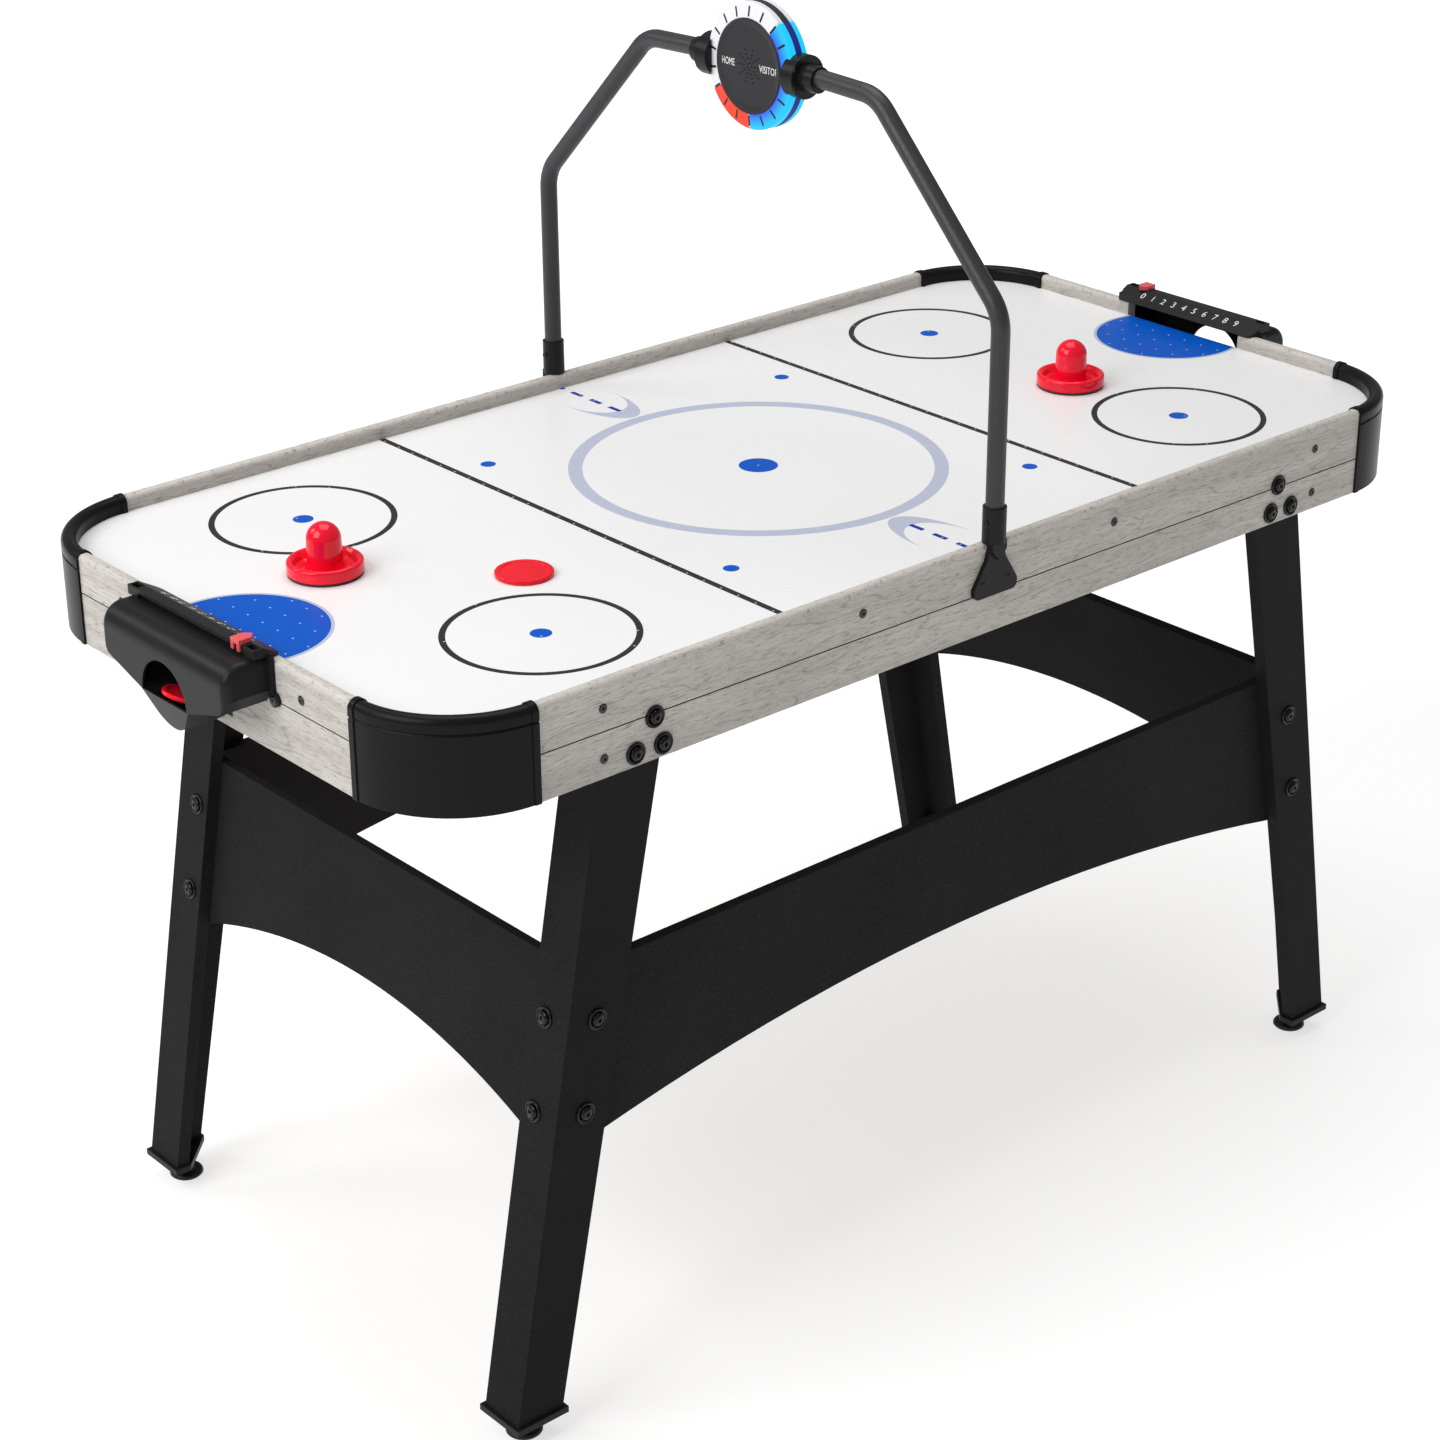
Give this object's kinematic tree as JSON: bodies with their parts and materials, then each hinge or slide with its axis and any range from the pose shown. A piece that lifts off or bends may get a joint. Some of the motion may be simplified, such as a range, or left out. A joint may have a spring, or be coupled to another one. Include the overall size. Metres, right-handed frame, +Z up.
{
  "type": "air hockey table",
  "caption": "Free-standing air hockey table with an overhead electronic scorer, goal boxes with sliding score markers, pushers and pucks.",
  "frame": {"origin": "on the floor under the middle of the table", "axes": "+X along the table towards the right-hand goal, +Y towards the back long side that has the switch, +Z up"},
  "size_m": [1.474, 0.7148, 1.2705],
  "materials": {
    "grey_board": "grey weathered wood-grain laminate",
    "playfield_white": "white gloss board with printed lines",
    "raw_board": "bare fibreboard",
    "black_board": "black laminate, fine grain",
    "black_moulding": "satin black moulding",
    "goal_black": "satin black moulding",
    "score_black": "satin black moulding with white figures",
    "marker_coral": "coral red",
    "black_fastener": "black oxide",
    "bright_fastener": "zinc plated",
    "screw_dark": "dark plated",
    "foot_black": "black moulding",
    "foot_steel": "black coated steel",
    "arch_charcoal": "textured charcoal powder coat",
    "clamp_black": "satin black moulding",
    "pod_charcoal": "satin charcoal moulding",
    "pod_lens": "frosted white light ring",
    "board_green": "circuit board",
    "pusher_red": "gloss red",
    "felt_black": "felt",
    "puck_red": "gloss red",
    "blower_black": "black moulding",
    "motor_steel": "plated can",
    "rocker_black": "black"
  },
  "bodies": {
    "table": {"playfield": "playfield_white", "plenum_floor": "raw_board", "plenum_spacers": "raw_board", "corner_braces": "raw_board", "side_apron_front": "grey_board", "side_apron_back": "grey_board", "end_apron_left": "grey_board", "end_apron_right": "grey_board", "corner_casting_front_left": "black_moulding", "corner_casting_front_right": "black_moulding", "corner_casting_back_left": "black_moulding", "corner_casting_back_right": "black_moulding", "apron_screws": "screw_dark", "leg_front_left": "black_board", "leg_front_right": "black_board", "leg_back_left": "black_board", "leg_back_right": "black_board", "leg_caps": "foot_black", "side_panel_front": "black_board", "side_panel_back": "black_board", "end_panel_left": "black_board", "end_panel_right": "black_board", "frame_bolts": "black_fastener", "frame_washers": "black_fastener", "frame_nuts": "bright_fastener", "goal_box_left": "goal_black", "goal_box_right": "goal_black", "goal_sensors": "goal_black", "score_rail_left": "score_black", "score_rail_right": "score_black", "arch_bracket_front": "arch_charcoal", "arch_bracket_back": "arch_charcoal", "arch_tube_front": "arch_charcoal", "arch_tube_back": "arch_charcoal", "pod_clamp_front": "clamp_black", "pod_clamp_back": "clamp_black", "arch_screws": "black_fastener", "pod_shell_left": "pod_charcoal", "pod_shell_right": "pod_charcoal", "pod_lens_left": "pod_lens", "pod_lens_right": "pod_lens", "pod_board": "board_green", "blower_housing": "blower_black", "blower_motor": "motor_steel", "power_inlet": "blower_black"},
    "score_marker_left": {"score_marker_left": "marker_coral"},
    "score_marker_right": {"score_marker_right": "marker_coral"},
    "pusher_left": {"pusher_left": "pusher_red", "pusher_felt_left": "felt_black"},
    "pusher_right": {"pusher_right": "pusher_red", "pusher_felt_right": "felt_black"},
    "puck_in_play": {"puck_table": "puck_red"},
    "puck_spare": {"puck_spare": "puck_red"},
    "impeller": {"blower_impeller": "blower_black"},
    "rocker": {"power_switch": "rocker_black"},
    "leveler_front_left": {"leveler_front_left": "foot_steel"},
    "leveler_front_right": {"leveler_front_right": "foot_steel"},
    "leveler_back_left": {"leveler_back_left": "foot_steel"},
    "leveler_back_right": {"leveler_back_right": "foot_steel"}
  },
  "joints": [
    {"name": "score_marker_left_slide", "type": "slide", "parent": "table", "child": "score_marker_left", "axis": [0, 1, 0], "range_m": [0, 0.16]},
    {"name": "score_marker_right_slide", "type": "slide", "parent": "table", "child": "score_marker_right", "axis": [0, -1, 0], "range_m": [0, 0.16]},
    {"name": "pusher_left_slide", "type": "slide", "parent": "table", "child": "pusher_left", "axis": [1, 0, 0], "range_m": [-0.123, 0.471]},
    {"name": "pusher_right_slide", "type": "slide", "parent": "table", "child": "pusher_right", "axis": [1, 0, 0], "range_m": [-0.393, 0.201]},
    {"name": "puck_in_play_slide", "type": "slide", "parent": "table", "child": "puck_in_play", "axis": [1, 0, 0], "range_m": [-0.258, 0.692]},
    {"name": "puck_spare_lift", "type": "slide", "parent": "table", "child": "puck_spare", "axis": [0, 0, 1], "range_m": [0, 0.02]},
    {"name": "leveler_front_left_screw", "type": "slide", "parent": "table", "child": "leveler_front_left", "axis": [0, 0, -1], "range_m": [0, 0.012]},
    {"name": "leveler_front_right_screw", "type": "slide", "parent": "table", "child": "leveler_front_right", "axis": [0, 0, -1], "range_m": [0, 0.012]},
    {"name": "leveler_back_left_screw", "type": "slide", "parent": "table", "child": "leveler_back_left", "axis": [0, 0, -1], "range_m": [0, 0.012]},
    {"name": "leveler_back_right_screw", "type": "slide", "parent": "table", "child": "leveler_back_right", "axis": [0, 0, -1], "range_m": [0, 0.012]},
    {"name": "impeller_spin", "type": "hinge", "parent": "table", "child": "impeller", "pos_m": [0, 0, 0.73], "axis": [0, 0, 1], "continuous": true},
    {"name": "rocker_tilt", "type": "hinge", "parent": "table", "child": "rocker", "pos_m": [0.25, 0.343, 0.728], "axis": [0, 0, 1], "range_deg": [0, 24]}
  ]
}
